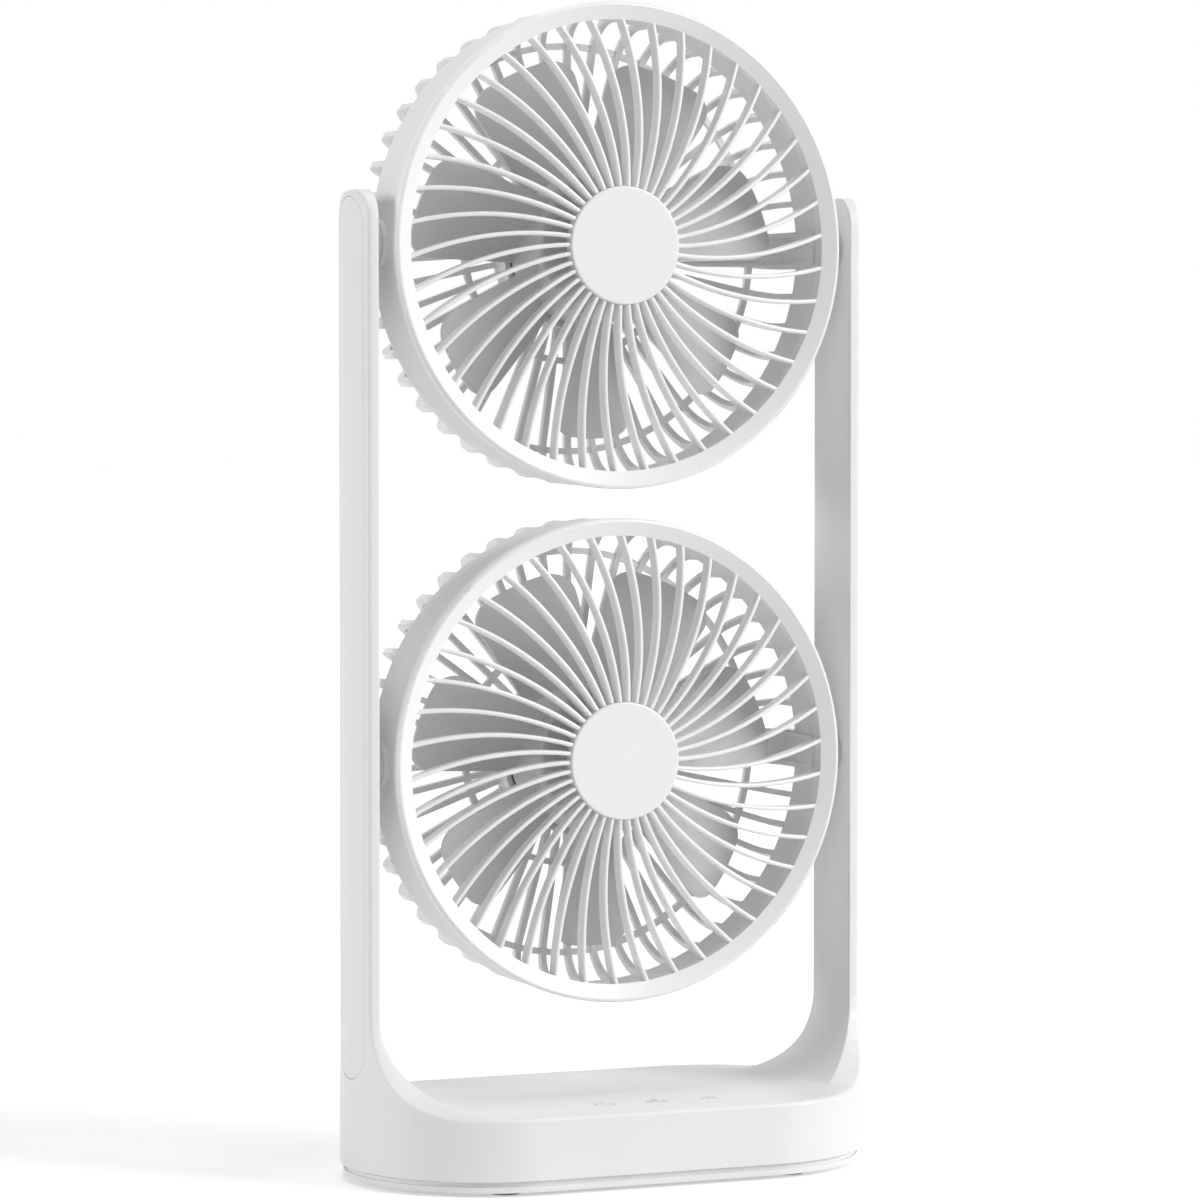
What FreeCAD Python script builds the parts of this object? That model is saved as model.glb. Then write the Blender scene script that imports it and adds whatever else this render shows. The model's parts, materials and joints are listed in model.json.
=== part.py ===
import FreeCAD, Part
import math
import os

# Dual head fan: a U-shaped frame on a low base carries two tilting fan heads.
# Millimetres. Origin on the floor under the middle of the base, +X right, +Y to the back, +Z up.

V = FreeCAD.Vector
FAN_AXIS = V(0, 1, 0)
ORIGIN = V(0, 0, 0)

# Fits and clearances
running_fit = 0.05
face_gap = 0.05
seam = 0.15

# Frame: base housing and uprights in one moulding
base_depth = 102.0
base_top = 26.6
base_wall = 2.2
housing_bottom = 5.2
upright_thickness = 5.75
upright_depth = 28.0
upright_rise = 18.0
upright_top_radius = 10.0
outer_edge_radius = 1.6
upright_skin = 1.5
gap_corner_radius = 30.0
front_flare_radius = 32.0
back_flare_radius = 17.0
flare_land = 3.0

# Side covers and the wire channels behind them
cover_width = 22.0
cover_seat_depth = 3.35
cover_top_margin = 2.2
cover_bottom = 36.0
channel_width = 19.0
channel_bottom = 18.0

# Bottom plate, feet and base screws
plate_bottom = 1.5
plate_thickness = 2.0
plate_inset = 1.2
plate_lip_height = 4.0
plate_lip_wall = 2.0
foot_radius = 5.0
foot_spacing_x = 106.0
foot_spacing_y = 76.0
base_screw_radius = 1.5
base_screw_head_radius = 3.0
base_screw_length = 12.0
base_boss_radius = 3.6

# Touch keys and control board
key_radius = 5.5
key_thickness = 0.5
key_spacing = 19.0
key_row_x = 6.0
key_front_margin = 20.5
key_count = 3
electrode_radius = 4.0
board_length = 84.0
board_width = 24.0
board_thickness = 1.6
board_drop = 3.3
board_screw_radius = 1.1
board_screw_head_radius = 2.1
board_screw_head_height = 1.3
board_screw_length = 4.0
board_boss_radius = 3.0
board_screw_spacing = 76.0

# Battery and charging socket
cell_radius = 9.2
cell_length = 65.0
cell_pitch = 20.0
cradle_gap = 1.45
cradle_floor = 1.0
cradle_height = 6.0
cradle_wall = 2.0
socket_width = 8.9
socket_height = 3.2
socket_length = 7.4
socket_wall = 0.35
socket_level = 12.5
charge_board_width = 18.0
charge_board_length = 12.0
charge_board_thickness = 1.2

# Heads: clear space beside, under and between their rings
head_side_gap = 5.15
head_low_gap = 32.5
head_between_gap = 9.8

# Front grille
ring_radius = 83.1
ring_width = 6.1
ring_front = -16.5
ring_dish = 2.2
ring_flange = 3.4
ring_edge_radius = 1.3
spigot_length = 6.0
spigot_wall = 1.8
spigot_fit = 0.1
rib_count = 42
rib_width = 1.5
rib_depth = 4.4
rib_edge_radius = 0.65
rib_swirl = 12.7
rib_swirl_middle = 5.3
rib_phase = 0.0
dome_rise = 4.3
hub_radius = 19.8
hub_thickness = 3.4
hub_cap_radius = 20.2
hub_cap_thickness = 1.6
hub_cap_edge = 0.7

# Rear cage
ring_overhang = 0.7
barrel_wall = 4.1
barrel_rear = 8.4
barrel_seam = 0.3
cage_rib_count = 46
cage_rib_width = 2.0
cage_rib_inset = 0.15
cage_rib_depth = 3.0
cage_back = 32.5
cage_corner_radius = 14.5
cage_inner_ring_radius = 39.0
cage_outer_ring_inset = 11.8
cage_ring_width = 2.2
cage_ring_inset = 0.8
cage_ring_depth = 2.0
motor_cup_radius = 28.0
motor_cup_wall = 2.0
motor_cup_front = 22.0
motor_cap_radius = 25.0
motor_cap_thickness = 2.0
motor_cap_edge = 0.8
duct_height = 11.2
duct_front = 23.0
duct_recess = 0.6
duct_rim = 1.3
duct_tray = 0.6
duct_wall_inset = 1.3
duct_wall_front = -6.8
duct_tray_front = -2.8
duct_corner_radius = 6.0
grille_screw_radius = 1.1
grille_screw_head_radius = 2.2
grille_screw_seat = 1.2
grille_screw_end_wall = 0.6

# Pivots
pivot_boss_radius = 8.0
pivot_boss_root = 1.2
pivot_boss_rise = 2.0
pivot_shaft_radius = 4.0
pivot_shaft_grip = 3.4
washer_thickness = 0.9
washer_bore_gap = 0.2
pivot_seat_radius = 6.9
pivot_seat_rise = 0.6
clip_radius = 6.4
clip_thickness = 0.8
lead_bore_radius = 1.2
lead_mouth_radius = 2.4
lead_mouth_depth = 3.0

# Motor and impeller
shaft_radius = 1.55
shaft_front = -3.6
motor_radius = 16.0
motor_front = 8.0
motor_wall = 1.4
motor_end_wall = 3.0
bush_radius = 4.0
bush_length = 3.0
bush_boss_radius = 6.0
magnet_thickness = 3.0
armature_radius = 10.8
armature_length = 9.0
motor_screw_count = 3
motor_screw_circle = 10.0
motor_screw_radius = 1.25
motor_screw_head_radius = 2.3
motor_screw_head_height = 1.2
motor_screw_length = 4.5
blade_tip_gap = 12.3
impeller_hub_radius = 26.0
impeller_hub_wall = 2.0
impeller_hub_front = -5.0
impeller_hub_rear = 20.5
impeller_boss_radius = 5.0
impeller_boss_length = 10.0
blade_count = 7
blade_phase = -13.0
blade_thickness = 1.7
blade_middle = 9.6
blade_lead = 23.0
blade_root_angle = 50.0
blade_tip_angle = 32.0
blade_corner_radius = 8.0

# Fan leads
lead_radius = 0.8
cage_lead_bend = 10.0
pivot_lead_bend = 4.0
base_lead_bend = 8.0
upper_lead_offset = 8.0
base_lead_level = 14.0
base_lead_end = 52.0

# Sizes that follow from the ones above
ring_lip_radius = ring_radius - ring_width
barrel_outer = ring_radius - ring_overhang
barrel_inner = barrel_outer - barrel_wall
cage_ring_radii = (cage_inner_ring_radius, barrel_outer - cage_outer_ring_inset)
duct_wall = barrel_inner - duct_wall_inset
impeller_radius = barrel_inner - blade_tip_gap
pivot_boss_inner = barrel_inner + pivot_boss_root
pivot_boss_outer = barrel_outer + pivot_boss_rise
pivot_low = base_top + head_low_gap + ring_radius
pivot_spacing = 2 * ring_radius + head_between_gap
upright_top = pivot_low + pivot_spacing + upright_rise
upright_gap = 2 * (ring_radius + head_side_gap)
base_width = upright_gap + 2 * upright_thickness
half_gap = upright_gap / 2
cover_seat = half_gap + cover_seat_depth
channel_floor = half_gap + upright_skin
pivot_seat = channel_floor + pivot_seat_rise
ceiling = base_top - base_wall
plate_top = plate_bottom + plate_thickness
flange_rear = ring_front + ring_flange
barrel_front = flange_rear + barrel_seam
spigot_outer = barrel_inner + spigot_wall
spigot_rear = flange_rear + spigot_length
grille_screw_y = (barrel_front + spigot_rear) / 2
dome_rim = ring_front + ring_dish + 0.2
dome_front = dome_rim - dome_rise
cap_seat = dome_front + 1.0
rib_end = barrel_inner + 0.4
cage_rib_radius = barrel_outer - cage_rib_inset
cage_rib_floor = cage_back - cage_rib_depth
cup_floor = cage_back - motor_cup_wall
duct_axis = (duct_front + cage_back) / 2
duct_outer = cage_rib_radius - duct_recess
lead_turn = (duct_wall + duct_tray + duct_outer) / 2
collar_outer = half_gap - face_gap - washer_thickness
shaft_inner = pivot_boss_outer - pivot_shaft_grip
clip_inner = pivot_seat + face_gap
clip_outer = clip_inner + clip_thickness
rear_bush_rear = cup_floor - motor_end_wall
screw_head_seat = cage_back - motor_screw_head_height
socket_rear = base_depth / 2 - 0.4
charge_board_top = socket_level - socket_height / 2
charge_board_rear = base_depth / 2 - base_wall - seam
key_row_y = key_front_margin - base_depth / 2
board_top = ceiling - board_drop
board_bottom = board_top - board_thickness
key_places = [key_row_x + (i - (key_count - 1) / 2) * key_spacing for i in range(key_count)]
foot_places = [(sx * foot_spacing_x / 2, sy * foot_spacing_y / 2) for sx in (-1, 1) for sy in (-1, 1)]
cradle_reach = cell_pitch / 2 + cell_radius + cradle_wall
cell_row_y = charge_board_rear - charge_board_length - cradle_gap - cradle_reach
cell_places = [cell_row_y - cell_pitch / 2, cell_row_y + cell_pitch / 2]
board_screw_places = [-board_screw_spacing / 2, board_screw_spacing / 2]
pivot_levels = {"lower": pivot_low, "upper": pivot_low + pivot_spacing}


def block(x0, x1, y0, y1, z0, z1):
    return Part.makeBox(x1 - x0, y1 - y0, z1 - z0, V(x0, y0, z0))


def rod(radius, start, end):
    start = V(*start)
    axis = V(*end) - start
    return Part.makeCylinder(radius, axis.Length, start, axis)


def tube(outer, inner, start, end):
    return rod(outer, start, end).cut(rod(inner, start, end))


def fan_disc(radius, y0, y1):
    return rod(radius, (0, y0, 0), (0, y1, 0))


def fan_ring(outer, inner, y0, y1):
    return fan_disc(outer, y0, y1).cut(fan_disc(inner, y0, y1))


def outline(start, *steps):
    """Closed face: a point draws a line, a pair of points draws an arc through the first to the second."""
    edges = []
    here = start
    for step in steps:
        if isinstance(step, tuple):
            middle, end = step
            edges.append(Part.Arc(here, middle, end).toShape())
        else:
            end = step
            edges.append(Part.LineSegment(here, end).toShape())
        here = end
    if not here.isEqual(start, 1e-7):
        edges.append(Part.LineSegment(here, start).toShape())
    return Part.Face(Part.Wire(edges))


def rounded(centre, radius, degrees, toward):
    """Point on a circle; toward gives the two plane directions."""
    angle = math.radians(degrees)
    first, second = toward
    return centre + first * (radius * math.cos(angle)) + second * (radius * math.sin(angle))


def spread(shape, count, phase=0.0):
    """Copies of a shape evenly round the fan axis."""
    copies = []
    for i in range(count):
        copy = shape.copy()
        copy.rotate(ORIGIN, FAN_AXIS, phase + i * 360.0 / count)
        copies.append(copy)
    return copies


def mirrored(shape):
    return shape.mirror(ORIGIN, V(1, 0, 0))


def stadium(width, depth, z0, z1):
    radius = depth / 2
    centre = width / 2 - radius
    face = outline(
        V(-centre, -radius, z0),
        V(centre, -radius, z0),
        (V(centre + radius, 0, z0), V(centre, radius, z0)),
        V(-centre, radius, z0),
        (V(-centre - radius, 0, z0), V(-centre, -radius, z0)),
    )
    return face.extrude(V(0, 0, z1 - z0))


def inset_stadium(inset, z0, z1):
    return stadium(base_width - 2 * inset, base_depth - 2 * inset, z0, z1)


def side_profile():
    """Frame seen from the side: uprights that flare into the base, with a rounded top."""
    half = upright_depth / 2
    reach = base_depth / 2 + 1
    widest = base_depth / 2 - half - flare_land
    front = min(front_flare_radius, widest)
    back = min(back_flare_radius, widest)
    top = upright_top_radius
    plane = (V(0, 1, 0), V(0, 0, 1))
    back_flare = V(0, half + back, base_top + back)
    front_flare = V(0, -half - front, base_top + front)
    back_top = V(0, half - top, upright_top - top)
    front_top = V(0, top - half, upright_top - top)
    face = outline(
        V(0, -reach, housing_bottom),
        V(0, reach, housing_bottom),
        V(0, reach, base_top),
        V(0, half + back, base_top),
        (rounded(back_flare, back, 225, plane), V(0, half, base_top + back)),
        V(0, half, upright_top - top),
        (rounded(back_top, top, 45, plane), V(0, half - top, upright_top)),
        V(0, top - half, upright_top),
        (rounded(front_top, top, 135, plane), V(0, -half, upright_top - top)),
        V(0, -half, base_top + front),
        (rounded(front_flare, front, 315, plane), V(0, -half - front, base_top)),
        V(0, -reach, base_top),
    )
    face.translate(V(-base_width, 0, 0))
    return face.extrude(V(2 * base_width, 0, 0))


def gap_between_uprights():
    radius = gap_corner_radius
    above = upright_top + 10
    plane = (V(1, 0, 0), V(0, 0, 1))
    right = V(half_gap - radius, 0, base_top + radius)
    left = V(radius - half_gap, 0, base_top + radius)
    face = outline(
        V(-half_gap, 0, above),
        V(-half_gap, 0, base_top + radius),
        (rounded(left, radius, 225, plane), V(radius - half_gap, 0, base_top)),
        V(half_gap - radius, 0, base_top),
        (rounded(right, radius, 315, plane), V(half_gap, 0, base_top + radius)),
        V(half_gap, 0, above),
    )
    face.translate(V(0, -base_depth, 0))
    return face.extrude(V(0, 2 * base_depth, 0))


def cover_outline(grow, x0, x1):
    """Round-ended strip on the right upright between two X positions."""
    radius = cover_width / 2 + grow
    low = cover_bottom + cover_width / 2
    high = upright_top - cover_top_margin - cover_width / 2
    face = outline(
        V(x0, radius, low),
        V(x0, radius, high),
        (V(x0, 0, high + radius), V(x0, -radius, high)),
        V(x0, -radius, low),
        (V(x0, 0, low - radius), V(x0, radius, low)),
    )
    return face.extrude(V(x1 - x0, 0, 0))


def wire_channel():
    """Channel in the right upright, from the upper pivot down into the base, less the pivot seats."""
    half = channel_width / 2
    high = upright_top - cover_top_margin - cover_width / 2
    channel = block(channel_floor, cover_seat, -half, half, channel_bottom, high)
    channel = channel.fuse(rod(half, (channel_floor, 0, high), (cover_seat, 0, high)))
    for level in pivot_levels.values():
        channel = channel.cut(rod(pivot_seat_radius, (channel_floor, 0, level), (pivot_seat, 0, level)))
    return channel


def upright_cuts():
    """What is cut from the right upright: cover seat, wire channel and pivot bores."""
    cuts = cover_outline(seam, cover_seat, base_width).fuse(wire_channel())
    bore = pivot_shaft_radius + running_fit
    for level in pivot_levels.values():
        cuts = cuts.fuse(rod(bore, (half_gap - 1, 0, level), (cover_seat, 0, level)))
    return cuts


def socket_hole(grow, y0, y1):
    """Round-ended slot along Y at the back of the base."""
    radius = socket_height / 2 + grow
    half = socket_width / 2 - socket_height / 2
    face = outline(
        V(-half, y0, socket_level - radius),
        V(half, y0, socket_level - radius),
        (V(half + radius, y0, socket_level), V(half, y0, socket_level + radius)),
        V(-half, y0, socket_level + radius),
        (V(-half - radius, y0, socket_level), V(-half, y0, socket_level - radius)),
    )
    return face.extrude(V(0, y1 - y0, 0))


def touch_disc(x, radius, z0, z1):
    return rod(radius, (x, key_row_y, z0), (x, key_row_y, z1))


def on_outer_wall(point):
    radius = base_depth / 2
    straight = base_width / 2 - radius
    reach = math.hypot(max(0, abs(point.x) - straight), point.y)
    return abs(reach - radius) < 1e-3


def outer_top_edges(body):
    """Edges where the outer wall meets the base top, the flares and the ends of the uprights."""
    found = []
    for edge in body.Edges:
        middle = edge.valueAt((edge.FirstParameter + edge.LastParameter) / 2)
        lowest = min(vertex.Z for vertex in edge.Vertexes)
        if on_outer_wall(middle) and lowest > housing_bottom + 1:
            found.append(edge)
    return found


def make_frame():
    body = stadium(base_width, base_depth, housing_bottom, upright_top)
    body = body.common(side_profile()).cut(gap_between_uprights()).removeSplitter()
    body = body.makeFillet(outer_edge_radius, outer_top_edges(body))
    body = body.cut(inset_stadium(base_wall, housing_bottom - 1, ceiling))
    screw_end = plate_bottom + base_screw_length
    boss_bottom = plate_top + seam
    bosses = []
    pilots = []
    for x, y in foot_places:
        bosses.append(rod(base_boss_radius, (x, y, boss_bottom), (x, y, ceiling + 0.5)))
        pilots.append(rod(base_screw_radius, (x, y, boss_bottom), (x, y, screw_end)))
    for x in board_screw_places:
        bosses.append(rod(board_boss_radius, (x, key_row_y, board_top), (x, key_row_y, ceiling + 0.5)))
        hole_top = board_bottom + board_screw_length
        pilots.append(rod(board_screw_radius, (x, key_row_y, board_top), (x, key_row_y, hole_top)))
    body = body.multiFuse(bosses).removeSplitter()
    cuts = upright_cuts()
    pockets = [touch_disc(x, key_radius, base_top - key_thickness, base_top + 1) for x in key_places]
    hole = socket_hole(seam, base_depth / 2 - 2 * base_wall, base_depth)
    return body.cut(Part.makeCompound([cuts, mirrored(cuts), hole] + pilots + pockets))


def make_side_cover():
    return cover_outline(0, cover_seat, base_width).common(stadium(base_width, base_depth, 0, upright_top))


def make_bottom_plate():
    plate = inset_stadium(plate_inset, plate_bottom, plate_top)
    lip_inset = base_wall + seam
    lip = inset_stadium(lip_inset, plate_top, plate_top + plate_lip_height)
    lip = lip.cut(inset_stadium(lip_inset + plate_lip_wall, plate_top, plate_top + plate_lip_height))
    plate = plate.multiFuse([lip, charge_board_rest()])
    for x, y in foot_places:
        plate = plate.cut(base_screw(x, y, seam))
    return plate.removeSplitter()


def charge_board_rest():
    """Block on the bottom plate that carries the charging board inside the lip."""
    half = charge_board_width / 2 - 2.0
    front = charge_board_rear - charge_board_length
    rear = charge_board_rear - plate_lip_wall - 1.0
    return block(-half, half, front, rear, plate_top, charge_board_top - charge_board_thickness)


def base_screw(x, y, grow=0.0):
    """Countersunk screw with its head flush with the underside of the plate."""
    shank = base_screw_radius + grow
    head = base_screw_head_radius + grow
    cone = Part.makeCone(head, shank, plate_thickness * 0.75, V(x, y, plate_bottom), V(0, 0, 1))
    return cone.fuse(rod(shank, (x, y, plate_bottom), (x, y, plate_bottom + base_screw_length)))


def make_board():
    half = board_length / 2
    front = key_row_y - board_width / 2
    board = block(-half, half, front, front + board_width, board_bottom, board_top)
    for x in board_screw_places:
        hole = board_screw_radius + seam
        board = board.cut(rod(hole, (x, key_row_y, board_bottom), (x, key_row_y, board_top)))
    return board


def board_screw(x):
    head = board_bottom - board_screw_head_height
    shank = rod(board_screw_radius, (x, key_row_y, head), (x, key_row_y, board_bottom + board_screw_length))
    return shank.fuse(rod(board_screw_head_radius, (x, key_row_y, head), (x, key_row_y, board_bottom)))


def battery_cell(y):
    level = plate_top + cradle_floor + cell_radius
    return rod(cell_radius, (-cell_length / 2, y, level), (cell_length / 2, y, level))


def make_cradle():
    half = cell_length / 2 + cradle_wall
    top = plate_top + cradle_height
    cradle = block(-half, half, cell_row_y - cradle_reach, cell_row_y + cradle_reach, plate_top, top)
    level = plate_top + cradle_floor + cell_radius
    inner = cell_length / 2 + seam
    for y in cell_places:
        cradle = cradle.cut(rod(cell_radius, (-inner, y, level), (inner, y, level)))
    return cradle


def make_socket():
    shell = socket_hole(0, socket_rear - socket_length, socket_rear)
    mouth = socket_hole(-socket_wall, socket_rear - socket_length + 1.0, socket_rear)
    tongue_half = socket_width / 2 - 1.4
    tongue = block(-tongue_half, tongue_half, socket_rear - socket_length, socket_rear - 0.8,
                   socket_level - 0.35, socket_level + 0.35)
    return shell.cut(mouth).fuse(tongue)


def make_charge_board():
    half = charge_board_width / 2
    front = charge_board_rear - charge_board_length
    bottom = charge_board_top - charge_board_thickness
    return block(-half, half, front, charge_board_rear, bottom, charge_board_top)


def lead_tube(points, radius, bends):
    """Round lead along straight runs joined by tangent arcs, one bend radius for each corner."""
    points = [V(*p) for p in points]
    edges = []
    here = points[0]
    for before, corner, after, bend in zip(points, points[1:], points[2:], bends):
        into = (corner - before).normalize()
        out = (after - corner).normalize()
        half_turn = into.getAngle(out) / 2
        reach = bend * math.tan(half_turn)
        start = corner - into * reach
        end = corner + out * reach
        inward = (out - into).normalize()
        middle = corner + inward * (bend / math.cos(half_turn) - bend)
        edges.append(Part.LineSegment(here, start).toShape())
        edges.append(Part.Arc(start, middle, end).toShape())
        here = end
    edges.append(Part.LineSegment(here, points[-1]).toShape())
    path = Part.Wire(edges)
    section = Part.Wire(Part.makeCircle(radius, points[0], points[1] - points[0]))
    return path.makePipeShell([section], True, False)


def frame_lead(level, y):
    """Lead in the right wire channel, from below a pivot clip down and into the base."""
    x = channel_floor + lead_radius
    start = level - clip_radius - 1.2
    points = [(x, y, start), (x, y, base_lead_level), (base_lead_end, y, base_lead_level)]
    return lead_tube(points, lead_radius, [base_lead_bend])


def revolved(*steps):
    """Solid of revolution about the fan axis; the outline is drawn with X as radius."""
    return outline(*steps).revolve(ORIGIN, FAN_AXIS, 360)


def grille_ring():
    """Ring with a dished face and a spigot that plugs into the front of the barrel."""
    edge = ring_edge_radius
    plane = (V(1, 0, 0), V(0, 1, 0))
    corner = V(ring_radius - edge, ring_front + edge, 0)
    return revolved(
        V(ring_lip_radius, ring_front + ring_dish, 0),
        V(ring_radius - edge, ring_front, 0),
        (rounded(corner, edge, -45, plane), V(ring_radius, ring_front + edge, 0)),
        V(ring_radius, flange_rear, 0),
        V(spigot_outer, flange_rear, 0),
        V(spigot_outer, spigot_rear, 0),
        V(barrel_inner, spigot_rear, 0),
        V(barrel_inner, flange_rear, 0),
        V(ring_lip_radius, flange_rear, 0),
    )


def rib_dome():
    """Shallow dome shell that the grille ribs are cut from."""
    inner = hub_radius - 2.0
    middle = (inner + rib_end) / 2
    rise = dome_front + dome_rise * 0.3
    depth = rib_depth
    dome = revolved(
        V(inner, dome_front, 0),
        (V(middle, rise, 0), V(rib_end, dome_rim, 0)),
        V(rib_end, dome_rim + depth, 0),
        (V(middle, rise + depth, 0), V(inner, dome_front + depth, 0)),
    )
    dome.rotate(ORIGIN, FAN_AXIS, 180)
    return dome


def rib_strip():
    """One swirled rib as an upright strip between two concentric arcs, seen from the front."""
    radii = (hub_radius - 1.0, (hub_radius + barrel_inner) / 2, rib_end + 1.0)
    turns = (0.0, rib_swirl_middle, rib_swirl)
    points = []
    for radius, turn in zip(radii, turns):
        angle = math.radians(turn)
        points.append(V(radius * math.cos(angle), 0, radius * math.sin(angle)))
    centre = Part.Arc(*points).toShape().Curve.Center
    sides = []
    for offset in (-rib_width / 2, rib_width / 2):
        sides.append([centre + (p - centre) * (1 + offset / (p - centre).Length) for p in points])
    near, far = sides
    face = outline(near[0], (near[1], near[2]), far[2], (far[1], far[0]))
    face.translate(V(0, 2 * dome_front, 0))
    return face.extrude(V(0, -2 * dome_front, 0))


def grille_rib():
    """One rib with its two long front edges rounded."""
    rib = rib_strip().common(rib_dome())
    by_length = sorted(rib.Edges, key=lambda edge: edge.Length)
    front_edges = sorted(by_length[-4:], key=lambda edge: edge.CenterOfMass.y)[:2]
    return rib.makeFillet(rib_edge_radius, front_edges)


def make_front_grille():
    hub = fan_disc(hub_radius, cap_seat, cap_seat + hub_thickness)
    grille = grille_ring().multiFuse([hub] + spread(grille_rib(), rib_count, rib_phase))
    cap_room = fan_disc(hub_cap_radius + seam, 2 * dome_front, cap_seat)
    return grille.cut(Part.makeCompound([cap_room, grille_screw()]))


def make_hub_cap():
    cap = fan_disc(hub_cap_radius, cap_seat - hub_cap_thickness, cap_seat)
    rim = [e for e in cap.Edges if abs(e.CenterOfMass.y - cap_seat + hub_cap_thickness) < 1e-6]
    return cap.makeFillet(hub_cap_edge, rim)


def grille_screw(grow=0.0, reach=-0.2):
    """Radial lock screw at the bottom of the barrel, through its wall into the spigot."""
    shank = grille_screw_radius + grow
    head = grille_screw_head_radius + grow
    top = -barrel_inner - grille_screw_end_wall
    seat = -barrel_outer + grille_screw_seat
    screw = rod(shank, (0, grille_screw_y, seat), (0, grille_screw_y, top))
    return screw.fuse(rod(head, (0, grille_screw_y, -barrel_outer - reach), (0, grille_screw_y, seat)))


def duct_envelope():
    """Outer shape of the cage with its rounded rear corner, a little inside the ribs."""
    centre = V(cage_rib_radius - cage_corner_radius, cage_back - cage_corner_radius, 0)
    corner = cage_corner_radius - duct_recess
    plane = (V(1, 0, 0), V(0, 1, 0))
    return revolved(
        V(0, barrel_front, 0),
        V(duct_outer, barrel_front, 0),
        V(duct_outer, centre.y, 0),
        (rounded(centre, corner, 45, plane), V(centre.x, centre.y + corner, 0)),
        V(0, centre.y + corner, 0),
    )


def cage_rib():
    """One cage rib: from the rear edge of the barrel, round the corner and in to the motor cup."""
    corner = cage_corner_radius
    inner_corner = corner - cage_rib_depth
    root = barrel_rear - 3.0
    plane = (V(1, 0, 0), V(0, 1, 0))
    centre = V(cage_rib_radius - corner, cage_back - corner, 0)
    cup = motor_cup_radius - motor_cup_wall / 2
    inside = centre.x + inner_corner
    face = outline(
        V(inside, root, 0),
        V(cage_rib_radius, root, 0),
        V(cage_rib_radius, centre.y, 0),
        (rounded(centre, corner, 45, plane), V(centre.x, cage_back, 0)),
        V(cup, cage_back, 0),
        V(cup, cage_rib_floor, 0),
        V(centre.x, cage_rib_floor, 0),
        (rounded(centre, inner_corner, 45, plane), V(inside, centre.y, 0)),
    )
    face.translate(V(0, 0, -cage_rib_width / 2))
    return face.extrude(V(0, 0, cage_rib_width))


def pivot_boss():
    return rod(pivot_boss_radius, (pivot_boss_inner, 0, 0), (pivot_boss_outer, 0, 0))


def duct_layer(near, far, start, end, half):
    """Layer between two depths under the duct's inner face, from X start round the corner to Y end."""
    centre = V(duct_wall - duct_corner_radius, duct_front - duct_corner_radius, -half)
    near_radius = duct_corner_radius + near
    far_radius = duct_corner_radius + far
    plane = (V(1, 0, 0), V(0, 1, 0))
    near_end = rounded(centre, near_radius, 0, plane)
    far_end = rounded(centre, far_radius, 0, plane)
    near_start = rounded(centre, near_radius, 90, plane)
    far_start = rounded(centre, far_radius, 90, plane)
    face = outline(
        V(start, near_start.y, -half),
        near_start,
        (rounded(centre, near_radius, 45, plane), near_end),
        V(near_end.x, end, -half),
        V(far_end.x, end, -half),
        far_end,
        (rounded(centre, far_radius, 45, plane), far_start),
        V(start, far_start.y, -half),
    )
    return face.extrude(V(0, 0, 2 * half))


def wire_duct():
    """Arm on the right that carries the motor lead from the pivot boss to the motor cup."""
    half = duct_height / 2
    inner = motor_cup_radius - motor_cup_wall / 2
    arm = duct_layer(0, cage_back - duct_front, inner, duct_wall_front, half)
    tray = duct_layer(-1, duct_tray, motor_cup_radius + duct_rim, duct_tray_front, half - duct_rim)
    return arm.common(duct_envelope()).cut(tray)


def motor_lead(start, end, radius):
    """Lead from the motor along the duct and out through the right pivot."""
    points = [(start, duct_axis, 0), (lead_turn, duct_axis, 0), (lead_turn, 0, 0), (end, 0, 0)]
    return lead_tube(points, radius, [cage_lead_bend, pivot_lead_bend])


def make_rear_cage():
    barrel = fan_ring(barrel_outer, barrel_inner, barrel_front, barrel_rear)
    barrel = barrel.cut(fan_disc(spigot_outer + spigot_fit, barrel_front, spigot_rear))
    cup = fan_ring(motor_cup_radius, motor_cup_radius - motor_cup_wall, motor_cup_front, cage_back)
    floor = fan_disc(motor_cup_radius, cup_floor, cage_back)
    half = cage_ring_width / 2
    ring_back = cage_back - cage_ring_inset
    rings = [fan_ring(r + half, r - half, ring_back - cage_ring_depth, ring_back) for r in cage_ring_radii]
    ribs = spread(cage_rib(), cage_rib_count, 180.0 / cage_rib_count)
    boss = pivot_boss()
    cage = barrel.multiFuse([cup, floor, boss, mirrored(boss), wire_duct()] + rings + ribs)
    cuts = [rod(pivot_shaft_radius, (shaft_inner, 0, 0), (pivot_boss_outer + 1, 0, 0))]
    cuts.append(mirrored(cuts[0]))
    cuts.append(motor_lead(motor_radius, pivot_boss_outer, lead_bore_radius))
    cuts.append(grille_screw(seam, 1.0))
    cuts.extend(motor_screws(seam))
    return cage.cut(Part.makeCompound(cuts)).removeSplitter()


def make_motor_cap():
    cap = fan_disc(motor_cap_radius, cage_back, cage_back + motor_cap_thickness)
    rim = [e for e in cap.Edges if abs(e.CenterOfMass.y - cage_back - motor_cap_thickness) < 1e-6]
    return cap.makeFillet(motor_cap_edge, rim)


def motor_screws(grow=0.0):
    x = motor_screw_circle
    shank = rod(motor_screw_radius + grow, (x, cup_floor - motor_screw_length, 0), (x, screw_head_seat, 0))
    head = rod(motor_screw_head_radius + grow, (x, screw_head_seat, 0), (x, cage_back, 0))
    return spread(shank.fuse(head), motor_screw_count, 90.0)


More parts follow.
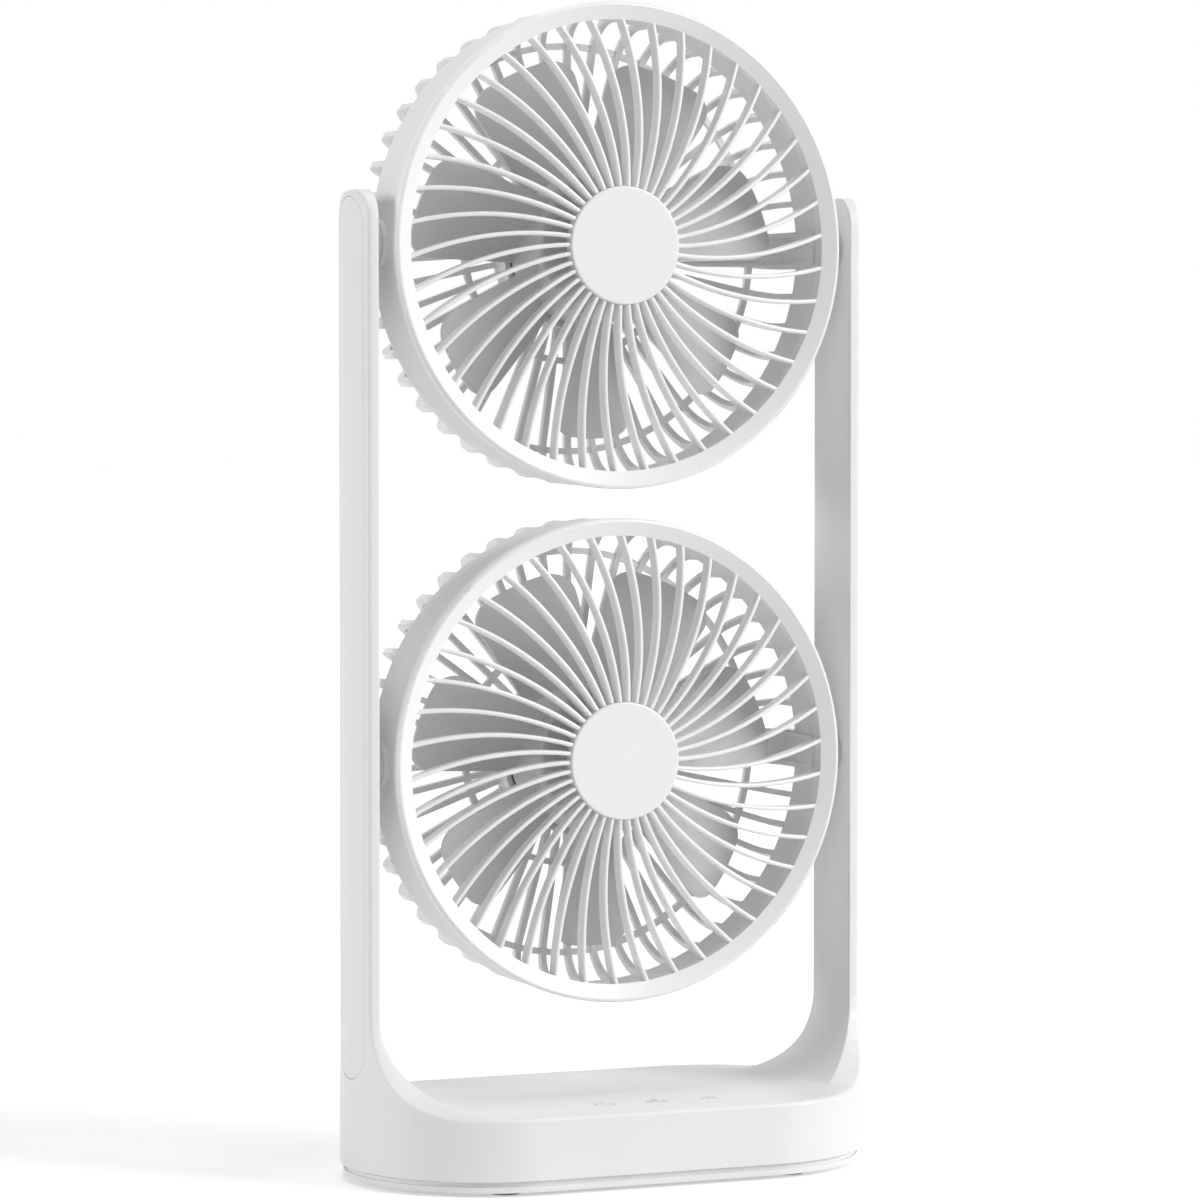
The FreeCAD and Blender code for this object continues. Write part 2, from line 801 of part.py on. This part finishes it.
def make_motor_can():
    """Closed can with a bush boss in each end wall."""
    can = fan_disc(motor_radius, motor_front, cup_floor)
    front_wall = motor_front + motor_wall
    can = can.cut(fan_disc(motor_radius - motor_wall, front_wall, rear_bush_rear))
    front_boss = fan_disc(bush_boss_radius, motor_front, motor_front + bush_length)
    rear_boss = fan_disc(bush_boss_radius, rear_bush_rear - bush_length, rear_bush_rear)
    can = can.multiFuse([front_boss, rear_boss])
    cuts = [
        fan_disc(bush_radius, motor_front, motor_front + bush_length),
        fan_disc(bush_radius, rear_bush_rear - bush_length, rear_bush_rear),
    ]
    return can.cut(Part.makeCompound(cuts + motor_screws())).removeSplitter()


def bush(y0):
    return fan_ring(bush_radius, shaft_radius + running_fit, y0, y0 + bush_length)


def core_span(length):
    """Start and end of a core centred between the two bushes."""
    middle = (motor_front + rear_bush_rear) / 2
    return middle - length / 2, middle + length / 2


def make_magnet_ring():
    y0, y1 = core_span(armature_length + 1.0)
    return fan_ring(motor_radius - motor_wall, motor_radius - motor_wall - magnet_thickness, y0, y1)


def make_armature():
    y0, y1 = core_span(armature_length)
    return fan_ring(armature_radius, shaft_radius, y0, y1)


def make_shaft():
    return fan_disc(shaft_radius, shaft_front, rear_bush_rear - face_gap)


def blade_sheet():
    """Twisted sheet of constant lead, wider than one blade, pointing along +X."""
    sections = []
    for radius in (impeller_hub_radius * 0.8, 36.0, 50.0, impeller_radius * 1.1):
        along = V(0, blade_lead / radius, 1).normalize()
        across = V(0, along.z, -along.y)
        reach = radius * math.tan(math.radians(blade_root_angle / 2)) / along.z + 3
        middle = V(radius, blade_middle, 0)
        corners = []
        for u, v in ((-1, -1), (1, -1), (1, 1), (-1, 1)):
            corners.append(middle + along * (u * reach) + across * (v * blade_thickness / 2))
        sections.append(Part.makePolygon(corners + corners[:1]))
    return Part.makeLoft(sections, True, False)


def blade_outline():
    """Front view of a blade: wide at the hub, narrower at a round tip with round corners."""
    inner = impeller_hub_radius - impeller_hub_wall / 2
    outer = impeller_radius
    plane = (V(1, 0, 0), V(0, 0, 1))
    low = V(0, -60, 0)
    face = outline(
        rounded(low, inner, -blade_root_angle / 2, plane),
        rounded(low, outer, -blade_tip_angle / 2, plane),
        (rounded(low, outer, 0, plane), rounded(low, outer, blade_tip_angle / 2, plane)),
        rounded(low, inner, blade_root_angle / 2, plane),
        (rounded(low, inner, 0, plane), rounded(low, inner, -blade_root_angle / 2, plane)),
    )
    prism = face.extrude(V(0, 120, 0))
    corners = []
    for edge in prism.Edges:
        middle = edge.CenterOfMass
        straight = abs(edge.Vertexes[0].X - edge.Vertexes[-1].X) < 1e-6
        if straight and math.hypot(middle.x, middle.z) > outer - 1 and abs(middle.y) < 1:
            corners.append(edge)
    return prism.makeFillet(blade_corner_radius, corners)


def make_impeller():
    wall = impeller_hub_wall
    hub = fan_disc(impeller_hub_radius, impeller_hub_front, impeller_hub_rear)
    hub = hub.cut(fan_disc(impeller_hub_radius - wall, impeller_hub_front + wall, impeller_hub_rear))
    hub_edge = [e for e in hub.Edges if abs(e.CenterOfMass.y - impeller_hub_front) < 1e-6]
    hub = hub.makeFillet(wall * 0.9, hub_edge)
    boss = fan_disc(impeller_boss_radius, impeller_hub_front, impeller_hub_front + impeller_boss_length)
    blade = blade_sheet().common(blade_outline())
    impeller = hub.multiFuse([boss] + spread(blade, blade_count, blade_phase))
    return impeller.cut(fan_disc(shaft_radius, shaft_front, impeller_hub_rear)).removeSplitter()


def pivot_stub():
    """Hollow stub on the right: shaft in the boss, collar, and running length in the upright."""
    stub = rod(pivot_shaft_radius, (shaft_inner, 0, 0), (clip_outer + face_gap, 0, 0))
    stub = stub.fuse(rod(pivot_boss_radius, (pivot_boss_outer, 0, 0), (collar_outer, 0, 0)))
    mouth = rod(lead_mouth_radius, (shaft_inner, 0, 0), (shaft_inner + lead_mouth_depth, 0, 0))
    return stub.cut(mouth).cut(rod(lead_bore_radius, (shaft_inner, 0, 0), (clip_outer + 1, 0, 0)))


def friction_washer():
    bore = pivot_shaft_radius + washer_bore_gap
    return tube(pivot_boss_radius, bore, (collar_outer, 0, 0), (half_gap - face_gap, 0, 0))


def pivot_clip():
    return tube(clip_radius, pivot_shaft_radius, (clip_inner, 0, 0), (clip_outer, 0, 0))


def pair(shape):
    return Part.makeCompound([shape, mirrored(shape)])


def head_pieces():
    """Pieces of one head, with the tilt axis along X through the origin."""
    return {
        "front_grille": make_front_grille(),
        "hub_cap": make_hub_cap(),
        "rear_cage": make_rear_cage(),
        "motor_cap": make_motor_cap(),
        "motor_can": make_motor_can(),
        "motor_screws": Part.makeCompound(motor_screws()),
        "motor_bushes": Part.makeCompound([bush(motor_front), bush(rear_bush_rear - bush_length)]),
        "magnet_ring": make_magnet_ring(),
        "armature": make_armature(),
        "motor_shaft": make_shaft(),
        "impeller": make_impeller(),
        "grille_screw": grille_screw(),
        "motor_lead": motor_lead(motor_radius, clip_outer, lead_radius),
        "pivot_stubs": pair(pivot_stub()),
        "friction_washers": pair(friction_washer()),
        "pivot_clips": pair(pivot_clip()),
    }


def frame_pieces():
    cover = make_side_cover()
    keys = [touch_disc(x, key_radius, base_top - key_thickness, base_top) for x in key_places]
    electrodes = [touch_disc(x, electrode_radius, board_top, ceiling) for x in key_places]
    feet = [rod(foot_radius, (x, y, 0), (x, y, plate_bottom)) for x, y in foot_places]
    return {
        "frame": make_frame(),
        "side_cover_right": cover,
        "side_cover_left": mirrored(cover),
        "bottom_plate": make_bottom_plate(),
        "foot_pads": Part.makeCompound(feet),
        "base_screws": Part.makeCompound([base_screw(x, y) for x, y in foot_places]),
        "touch_keys": Part.makeCompound(keys),
        "touch_electrodes": Part.makeCompound(electrodes),
        "control_board": make_board(),
        "board_screws": Part.makeCompound([board_screw(x) for x in board_screw_places]),
        "battery_cells": Part.makeCompound([battery_cell(y) for y in cell_places]),
        "battery_cradle": make_cradle(),
        "charge_board": make_charge_board(),
        "charging_socket": make_socket(),
        "lead_upper": frame_lead(pivot_levels["upper"], upper_lead_offset),
        "lead_lower": frame_lead(pivot_levels["lower"], 0),
    }


os.makedirs("parts", exist_ok=True)
for piece, shape in frame_pieces().items():
    shape.exportStep(f"parts/{piece}.step")
for piece, shape in head_pieces().items():
    for head, level in pivot_levels.items():
        placed = shape.copy()
        placed.translate(V(0, 0, level))
        placed.exportStep(f"parts/{piece}_{head}.step")
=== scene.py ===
"""Dual head fan: moulded white plastic on a low oval base, in a white studio."""

import json
import math

import bpy
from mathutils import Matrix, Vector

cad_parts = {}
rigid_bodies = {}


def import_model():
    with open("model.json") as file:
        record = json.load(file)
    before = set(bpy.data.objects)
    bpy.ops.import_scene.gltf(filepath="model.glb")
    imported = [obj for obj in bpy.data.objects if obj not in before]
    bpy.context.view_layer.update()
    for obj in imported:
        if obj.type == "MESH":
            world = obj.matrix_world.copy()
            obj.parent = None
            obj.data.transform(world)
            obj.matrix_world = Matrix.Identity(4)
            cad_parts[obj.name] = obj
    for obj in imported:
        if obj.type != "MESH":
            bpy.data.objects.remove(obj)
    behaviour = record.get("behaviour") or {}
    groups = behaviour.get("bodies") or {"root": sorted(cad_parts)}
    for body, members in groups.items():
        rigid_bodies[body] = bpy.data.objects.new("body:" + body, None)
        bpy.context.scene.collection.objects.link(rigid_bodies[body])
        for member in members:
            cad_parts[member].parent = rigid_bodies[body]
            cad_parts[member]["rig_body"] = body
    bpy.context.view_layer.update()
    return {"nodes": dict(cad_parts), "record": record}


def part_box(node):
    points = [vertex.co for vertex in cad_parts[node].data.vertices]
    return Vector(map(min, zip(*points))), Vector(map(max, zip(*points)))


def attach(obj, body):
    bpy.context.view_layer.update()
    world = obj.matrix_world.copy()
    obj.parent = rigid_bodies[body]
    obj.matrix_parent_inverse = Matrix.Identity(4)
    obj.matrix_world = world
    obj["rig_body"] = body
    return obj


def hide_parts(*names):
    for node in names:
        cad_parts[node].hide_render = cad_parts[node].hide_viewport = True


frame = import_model()
nodes = frame["nodes"]
slots = {part["node"]: part["material_slot"] for part in frame["record"]["subparts"]}

MM = 0.001
HEADS = ("upper", "lower")
SIDES = ("left", "right")

# Softened edges: the width in mm of the flat cut along the edges of each moulding,
# the angle in degrees from which an edge counts as sharp, and how close in mm corners merge first
FRAME_EDGE = 0.5
COVER_EDGE = 0.2
IMPELLER_EDGE = 0.2
STUB_EDGE = 0.3
SHARP_ANGLE = 32
MERGE_DISTANCE = 0.002

# Where the frame's edges stay crisp, as ranges in mm along X, Y and Z: the pivot holes and cover
# pockets of both uprights, stepping in with the pockets' round tops, the inside of the base,
# and the touch keys' pockets in its top
UPRIGHTS = ((-110, -80), (80, 110))
POCKET_STEPS = (
    ((-11.5, 11.5), (28, 328)),
    ((-10.3, 10.3), (328, 331)),
    ((-8.2, 8.2), (331, 334.6)),
)
BASE_INSIDE = ((-95, 95), (-52, 52), (6, 24.9))
KEY_POCKETS = ((-25, 37), (-38, -22), (20, 30))
FRAME_CRISP = [(upright, *step) for upright in UPRIGHTS for step in POCKET_STEPS]
FRAME_CRISP += [BASE_INSIDE, KEY_POCKETS]
# Share of the softening that a crisp edge still gets, so that its faces keep their own normals
CRISP_SHARE = 0.02

# Printed touch marks, in mm and degrees, placed from the middle of their key;
# each speed bar has its place along X and its length
INK_FILM = 0.03
POWER_RADIUS = 3.8
POWER_STROKE = 0.8
POWER_GAP = 70
POWER_RING_SIDES = 60
POWER_BAR_LENGTH = 3.6
POWER_BAR_MIDDLE = 2.8
FAN_HUB_RADIUS = 1.0
FAN_HUB_SIDES = 20
FAN_BLADE_RADIUS = 1.4
FAN_BLADE_PLACE = (0.5, 2.8)
FAN_BLADE_STRETCH = 1.25
FAN_BLADE_SIDES = 24
FAN_BLADE_TURNS = (0, 120, 240)
SPEED_BAR_WIDTH = 1.2
SPEED_BAR_FOOT = -3.2
SPEED_BARS = ((-2.4, 2.4), (0, 4.4), (2.4, 6.4))

# Camera: where the photographer stood, the way the lens points, and the lens in mm
CAMERA_PLACE = (-0.69696, -1.55093, 0.2663)
CAMERA_TURN = 24.163
CAMERA_DROP = 2.347
CAMERA_LENS = 148.0
CAMERA_SENSOR = 36.0
CAMERA_NEAR = 0.05

# Studio: the floor's size in metres and its glow, the room's light, and for each lamp
# the place it shines from, its strength, and how many degrees wide it looks from the object
FLOOR_SIZE = 30.0
FLOOR_GLOW = 0.45
ROOM_LIGHT = 0.09
LAMPS = {
    "key_front_right": ((0.65, -0.65, 0.40), 2.2, 30),
    "side_left": ((-0.95, 0.15, 0.26), 1.3, 30),
    "top_fill": ((0.0, -0.05, 1.0), 0.75, 40),
    "back_fill": ((0.35, 0.90, 0.30), 0.2, 50),
}

# Shader nodes: places of the sockets whose names aren't unique, and settings that every finish shares
MIX_FACTOR, MIX_DARK, MIX_LIGHT, MIX_RESULT = 0, 6, 7, 2
RANGE_LOW, RANGE_HIGH = 3, 4
CLOUD_DETAIL = 3.0
GRAIN_DETAIL = 2.0
GRAIN_STRENGTH = 0.5
WHITE = (1, 1, 1, 1)


def linear(code):
    """sRGB hex to the linear colour that the shader takes."""
    parts = [int(code[i:i + 2], 16) / 255 for i in (1, 3, 5)]
    return [c / 12.92 if c <= 0.04045 else ((c + 0.055) / 1.055) ** 2.4 for c in parts] + [1.0]


def per_mm(size):
    """Texture scale whose features are about this many millimetres across."""
    return 1 / (size * MM)


def add(tree, kind, values):
    """Adds a node: each value is a setting, an input's constant, or the output that feeds the input."""
    node = tree.nodes.new(kind)
    for name, value in values.items():
        if isinstance(name, str) and hasattr(node, name):
            setattr(node, name, value)
        elif isinstance(value, bpy.types.NodeSocket):
            tree.links.new(value, node.inputs[name])
        else:
            node.inputs[name].default_value = value
    return node


def noise(tree, place, size_mm, detail):
    """Noise whose features are about this many millimetres across."""
    texture = add(tree, "ShaderNodeTexNoise", {"Vector": place, "Scale": per_mm(size_mm), "Detail": detail})
    return texture.outputs[0]


def grained(name, dark, light, rough, grain_mm, depth_mm, cloud_mm, shader):
    """Moulded surface: a fine grain in the bump, and slow drifts of tone and gloss."""
    material = bpy.data.materials.new(name)
    material.use_nodes = True
    tree = material.node_tree
    principled = tree.nodes["Principled BSDF"]
    for socket, value in shader.items():
        principled.inputs[socket].default_value = value
    place = add(tree, "ShaderNodeTexCoord", {}).outputs["Object"]
    cloud = noise(tree, place, cloud_mm, CLOUD_DETAIL)
    tone = add(tree, "ShaderNodeMix", {
        "data_type": "RGBA", MIX_FACTOR: cloud, MIX_DARK: linear(dark), MIX_LIGHT: linear(light)})
    gloss = add(tree, "ShaderNodeMapRange", {"Value": cloud, RANGE_LOW: rough[0], RANGE_HIGH: rough[1]})
    grain = noise(tree, place, grain_mm, GRAIN_DETAIL)
    bump = add(tree, "ShaderNodeBump", {
        "Strength": GRAIN_STRENGTH, "Distance": depth_mm * MM, "Height": grain})
    tree.links.new(tone.outputs[MIX_RESULT], principled.inputs["Base Color"])
    tree.links.new(gloss.outputs[0], principled.inputs["Roughness"])
    tree.links.new(bump.outputs[0], principled.inputs["Normal"])
    return material


# ABS moulded in a spark-eroded tool: white, satin, with a fine dry grain that softens its highlights.
# The real grain is about 0.1 mm and is drawn coarser so that it shows.
abs_satin = grained(
    "ABS_white_spark_eroded", "#F0F0F0", "#F5F5F5", (0.40, 0.48), 0.7, 0.02, 60, {"IOR": 1.53})

# ABS moulded in a polished tool: white, smoother, with a brighter sheen on every rib; its white is painted
# a shade brighter than the shell's, as painted light for the heads.
abs_smooth_painted_bright = grained(
    "ABS_white_polished_painted_bright", "#F9F9F9", "#FCFCFC", (0.28, 0.34), 1.5, 0.006, 40, {"IOR": 1.53})

# Polypropylene blades: a milky white painted greyer than the shell, as painted shade for the shade of the
# grille.
blade_plastic_painted_shade = grained(
    "polypropylene_painted_shade_grey", "#CECECE", "#D6D6D6", (0.34, 0.42), 1.2, 0.01, 30, {"IOR": 1.49})

# Acetal pivots: plain white bearing plastic with a waxy sheen.
pivot_plastic = grained(
    "acetal_turned", "#DCDCDC", "#E2E2E2", (0.32, 0.38), 0.9, 0.01, 12, {"IOR": 1.48})

# Silicone foot pads and pivot washers: dull pale grey with no shine.
rubber = grained(
    "silicone_moulded", "#CCCCCC", "#D4D4D4", (0.75, 0.85), 0.8, 0.03, 8, {"IOR": 1.41})

# Pad-printed ink: a thin flat grey film on the touch keys.
ink = grained(
    "ink_pad_printed", "#CCCCCC", "#D4D4D4", (0.5, 0.56), 0.5, 0.004, 5, {"IOR": 1.5})

# Zinc-plated steel: pale grey metal with a soft broken sheen.
steel = grained(
    "steel_zinc_plated", "#B8B9BB", "#C6C7C9", (0.28, 0.42), 0.6, 0.01, 4, {"Metallic": 1.0})

# Sintered iron and ferrite: dark grey and dull.
ferrite = grained(
    "ferrite_sintered", "#38383A", "#444446", (0.55, 0.7), 0.4, 0.02, 5, {"Metallic": 0.6})

# Sintered bronze: warm brown metal, open-grained and oily.
bronze = grained(
    "bronze_sintered", "#9C7448", "#B08658", (0.35, 0.5), 0.3, 0.02, 3, {"Metallic": 1.0})

# Copper foil: bright salmon metal, rolled smooth.
copper = grained(
    "copper_rolled_foil", "#D68F62", "#E2A079", (0.2, 0.3), 0.5, 0.005, 4, {"Metallic": 1.0})

# Glass-fibre board under solder mask: deep green with a wet gloss.
board_green = grained(
    "glass_fibre_solder_mask", "#14532F", "#1B6339", (0.22, 0.3), 0.4, 0.006, 6, {"IOR": 1.55})

# Shrink-wrap film on the cells: tight mid-blue film.
cell_wrap = grained(
    "PVC_shrink_film", "#2F66A8", "#3A72B4", (0.2, 0.28), 1.0, 0.006, 10, {"IOR": 1.53})

# PVC insulation: black, slightly waxy.
insulation = grained(
    "PVC_extruded", "#1E1E1F", "#262627", (0.42, 0.5), 0.5, 0.006, 6, {"IOR": 1.53})

# Black moulded ABS inside the base: plain and matt.
inner_plastic = grained(
    "ABS_black_moulded", "#232324", "#2B2B2C", (0.5, 0.6), 0.8, 0.02, 20, {"IOR": 1.53})

FINISH = {
    "white_shell": abs_satin,
    # Painted light: the polished white is painted brighter than the shell's
    "white_gloss": abs_smooth_painted_bright,
    # Painted shade: the blades' white is painted grey
    "impeller_white": blade_plastic_painted_shade,
    "key_print": abs_satin,
    "foot_rubber": rubber,
    "washer_rubber": rubber,
    "pivot_plastic": pivot_plastic,
    "inner_plastic": inner_plastic,
    "steel": steel,
    "motor_steel": steel,
    "magnet": ferrite,
    "bronze": bronze,
    "copper": copper,
    "board": board_green,
    "cell_wrap": cell_wrap,
    "lead": insulation,
}


def only(piece):
    """Makes a piece the one that operators act on."""
    bpy.ops.object.select_all(action="DESELECT")
    piece.select_set(True)
    bpy.context.view_layer.objects.active = piece


def within(point, box_mm):
    """Whether a point lies in a box."""
    return all(low * MM < at < high * MM for at, (low, high) in zip(point, box_mm))


def soften_edges(piece, edge_mm, crisp_mm):
    """Cuts a narrow flat along every sharp edge, and a hair-thin one inside the boxes of crisp edges."""
    bpy.ops.object.mode_set(mode="EDIT")
    bpy.ops.mesh.select_mode(type="EDGE")
    bpy.ops.mesh.select_all(action="DESELECT")
    bpy.ops.mesh.edges_select_sharp(sharpness=math.radians(SHARP_ANGLE))
    bpy.ops.object.mode_set(mode="OBJECT")
    mesh = piece.data
    weights = mesh.attributes.new("bevel_weight_edge", "FLOAT", "EDGE")
    for edge in mesh.edges:
        if edge.select:
            start, end = (mesh.vertices[i].co for i in edge.vertices)
            crisp = any(within((start + end) / 2, box) for box in crisp_mm)
            weights.data[edge.index].value = CRISP_SHARE if crisp else 1.0
    bevel = piece.modifiers.new("softened_edges", "BEVEL")
    bevel.width = edge_mm * MM
    bevel.segments = 1
    bevel.limit_method = "WEIGHT"
    bevel.use_clamp_overlap = False
    bevel.miter_outer = "MITER_ARC"
    bpy.ops.object.modifier_apply(modifier=bevel.name)


def take_normals(piece, solid):
    """Gives the faces the solid's own normals, so that each cut edge shades as a round one."""
    bpy.ops.object.shade_smooth()
    transfer = piece.modifiers.new("solid_normals", "DATA_TRANSFER")
    transfer.object = solid
    transfer.use_loop_data = True
    transfer.data_types_loops = {"CUSTOM_NORMAL"}
    transfer.loop_mapping = "POLYINTERP_NEAREST"
    bpy.ops.object.modifier_apply(modifier=transfer.name)


def dress(node, edge_mm, crisp_mm=()):
    """Shows a merged copy of a solid with softened edges in its place."""
    solid = nodes[node]
    piece = bpy.data.objects.new(f"{node}_moulding", solid.data.copy())
    bpy.context.scene.collection.objects.link(piece)
    only(piece)
    bpy.ops.mesh.customdata_custom_splitnormals_clear()
    bpy.ops.object.mode_set(mode="EDIT")
    bpy.ops.mesh.select_all(action="SELECT")
    bpy.ops.mesh.remove_doubles(threshold=MERGE_DISTANCE * MM)
    bpy.ops.object.mode_set(mode="OBJECT")
    soften_edges(piece, edge_mm, crisp_mm)
    take_normals(piece, solid)
    piece.data.materials.clear()
    piece.data.materials.append(FINISH[slots[node]])
    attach(piece, solid["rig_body"])
    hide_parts(node)


def finish_solids():
    """Every solid takes the finish of its slot, and the front grilles the polished one, whose white is
    painted brighter as painted light.
    """
    for node, solid in nodes.items():
        polished = node.startswith("front_grille")
        solid.data.materials.clear()
        solid.data.materials.append(abs_smooth_painted_bright if polished else FINISH[slots[node]])


def dress_shell():
    dress("frame", FRAME_EDGE, FRAME_CRISP)
    for side in SIDES:
        dress(f"side_cover_{side}", COVER_EDGE)


def dress_head(head):
    dress(f"impeller_{head}", IMPELLER_EDGE)
    dress(f"pivot_stubs_{head}", STUB_EDGE)


def print_disc(radius_mm, sides, place_mm=(0, 0), stretch=1.0, turn=0.0):
    """Round or oval dab of ink, stretched along Y and then turned about the mark's middle."""
    centre = (place_mm[0] * MM, place_mm[1] * MM, 0)
    bpy.ops.mesh.primitive_circle_add(
        vertices=sides, radius=radius_mm * MM, fill_type="NGON", location=centre)
    bpy.ops.transform.resize(value=(1, stretch, 1), center_override=centre)
    if turn:
        bpy.ops.transform.rotate(
            value=math.radians(turn), orient_axis="Z", center_override=(0, 0, 0))


def print_bar(width_mm, length_mm, place_mm):
    """Straight stroke of ink along Y."""
    centre = (place_mm[0] * MM, place_mm[1] * MM, 0)
    bpy.ops.mesh.primitive_plane_add(size=MM, location=centre)
    bpy.ops.transform.resize(value=(width_mm, length_mm, 1), center_override=centre)


def print_arc(radius_mm, sides, width_mm, gap):
    """Ring of ink, open towards the back over a gap in degrees."""
    bpy.ops.mesh.primitive_circle_add(
        vertices=sides, radius=radius_mm * MM, fill_type="NOTHING", location=(0, 0, 0))
    bpy.ops.mesh.extrude_edges_move()
    inner = 1 - width_mm / radius_mm
    bpy.ops.transform.resize(value=(inner, inner, 1), center_override=(0, 0, 0))
    bpy.ops.mesh.select_mode(type="FACE")
    bpy.ops.mesh.select_all(action="DESELECT")
    bpy.ops.object.mode_set(mode="OBJECT")
    for face in bpy.context.object.data.polygons:
        off_back = abs(math.degrees(math.atan2(face.center.x, face.center.y)))
        face.select = off_back < gap / 2
    bpy.ops.object.mode_set(mode="EDIT")
    bpy.ops.mesh.delete(type="FACE")


def power_strokes():
    print_arc(POWER_RADIUS, POWER_RING_SIDES, POWER_STROKE, POWER_GAP)
    print_bar(POWER_STROKE, POWER_BAR_LENGTH, (0, POWER_BAR_MIDDLE))


def fan_strokes():
    print_disc(FAN_HUB_RADIUS, FAN_HUB_SIDES)
    for turn in FAN_BLADE_TURNS:
        print_disc(FAN_BLADE_RADIUS, FAN_BLADE_SIDES, FAN_BLADE_PLACE, FAN_BLADE_STRETCH, turn)


def speed_strokes():
    for place, length in SPEED_BARS:
        print_bar(SPEED_BAR_WIDTH, length, (place, length / 2 + SPEED_BAR_FOOT))


def touch_mark(name, strokes, place):
    """Thin film of ink on a touch key, drawn at the origin and then set on the key."""
    bpy.ops.object.select_all(action="DESELECT")
    bpy.ops.mesh.primitive_plane_add(size=MM, location=(0, 0, 0))
    mark = bpy.context.object
    mark.name = name
    bpy.ops.object.mode_set(mode="EDIT")
    bpy.ops.mesh.delete(type="VERT")
    strokes()
    bpy.ops.mesh.select_all(action="SELECT")
    bpy.ops.mesh.normals_make_consistent(inside=False)
    bpy.ops.object.mode_set(mode="OBJECT")
    film = mark.modifiers.new("film", "SOLIDIFY")
    film.thickness = INK_FILM * MM
    film.offset = 0
    bpy.ops.object.modifier_apply(modifier=film.name)
    mark.location = place
    bpy.ops.object.transform_apply(location=True, rotation=False, scale=False)
    mark.data.materials.append(ink)
    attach(mark, nodes["touch_keys"]["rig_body"])


def make_touch_marks():
    """One mark on each of the three keys, which lie in a row along X."""
    low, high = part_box("touch_keys")
    key_radius = (high[1] - low[1]) / 2
    row_y = (low[1] + high[1]) / 2
    touch_mark("touch_mark_power", power_strokes, (low[0] + key_radius, row_y, high[2]))
    touch_mark("touch_mark_fan", fan_strokes, ((low[0] + high[0]) / 2, row_y, high[2]))
    touch_mark("touch_mark_speed", speed_strokes, (high[0] - key_radius, row_y, high[2]))


def rays_of(tree, *kinds):
    """Output that is 1 for rays of these kinds and 0 for all others."""
    path = add(tree, "ShaderNodeLightPath", {})
    found = path.outputs[kinds[0]]
    for kind in kinds[1:]:
        either = add(tree, "ShaderNodeMath", {
            "operation": "ADD", "use_clamp": True, 0: found, 1: path.outputs[kind]})
        found = either.outputs[0]
    return found


def make_floor():
    """White studio floor that reads as the backdrop and still takes the shadow."""
    material = bpy.data.materials.new("studio_floor_painted_white")
    material.use_nodes = True
    tree = material.node_tree
    tree.nodes.clear()
    matt = add(tree, "ShaderNodeBsdfDiffuse", {"Color": linear("#F4F4F4")})
    glow = add(tree, "ShaderNodeEmission", {"Color": WHITE, "Strength": FLOOR_GLOW})
    both = add(tree, "ShaderNodeAddShader", {0: matt.outputs[0], 1: glow.outputs[0]})
    seen = rays_of(tree, "Is Camera Ray", "Is Glossy Ray")
    pick = add(tree, "ShaderNodeMixShader", {0: seen, 1: matt.outputs[0], 2: both.outputs[0]})
    add(tree, "ShaderNodeOutputMaterial", {"Surface": pick.outputs[0]})
    bpy.ops.object.select_all(action="DESELECT")
    bpy.ops.mesh.primitive_plane_add(size=FLOOR_SIZE, location=(0, 0, 0))
    floor = bpy.context.object
    floor.name = "studio_floor"
    floor.data.materials.append(material)


def make_room():
    """Even room light; the camera and reflections see a white room."""
    world = bpy.data.worlds.new("white_room")
    bpy.context.scene.world = world
    world.use_nodes = True
    tree = world.node_tree
    tree.nodes.clear()
    lit = add(tree, "ShaderNodeBackground", {"Color": WHITE, "Strength": ROOM_LIGHT})
    white = add(tree, "ShaderNodeBackground", {"Color": WHITE, "Strength": 1.0})
    seen = rays_of(tree, "Is Camera Ray", "Is Glossy Ray", "Is Transmission Ray")
    pick = add(tree, "ShaderNodeMixShader", {0: seen, 1: lit.outputs[0], 2: white.outputs[0]})
    add(tree, "ShaderNodeOutputWorld", {"Surface": pick.outputs[0]})


def make_lamp(name, place, strength, width):
    """Distant soft lamp that shines from a place towards the object."""
    lamp = bpy.data.lights.new(name, "SUN")
    lamp.energy = strength
    lamp.angle = math.radians(width)
    holder = bpy.data.objects.new(name, lamp)
    bpy.context.scene.collection.objects.link(holder)
    holder.location = place
    holder.rotation_euler = (-Vector(place)).to_track_quat("-Z", "Y").to_euler()


def make_camera():
    camera = bpy.data.cameras.new("photo_camera")
    camera.lens = CAMERA_LENS
    camera.sensor_width = CAMERA_SENSOR
    camera.clip_start = CAMERA_NEAR
    holder = bpy.data.objects.new("photo_camera", camera)
    bpy.context.scene.collection.objects.link(holder)
    holder.location = CAMERA_PLACE
    holder.rotation_euler = (math.radians(90 - CAMERA_DROP), 0, math.radians(-CAMERA_TURN))
    bpy.context.scene.camera = holder


finish_solids()
dress_shell()
for head in HEADS:
    dress_head(head)
make_touch_marks()
make_floor()
make_room()
for name, (place, strength, width) in LAMPS.items():
    make_lamp(name, place, strength, width)
make_camera()
bpy.context.scene.view_settings.view_transform = "Standard"
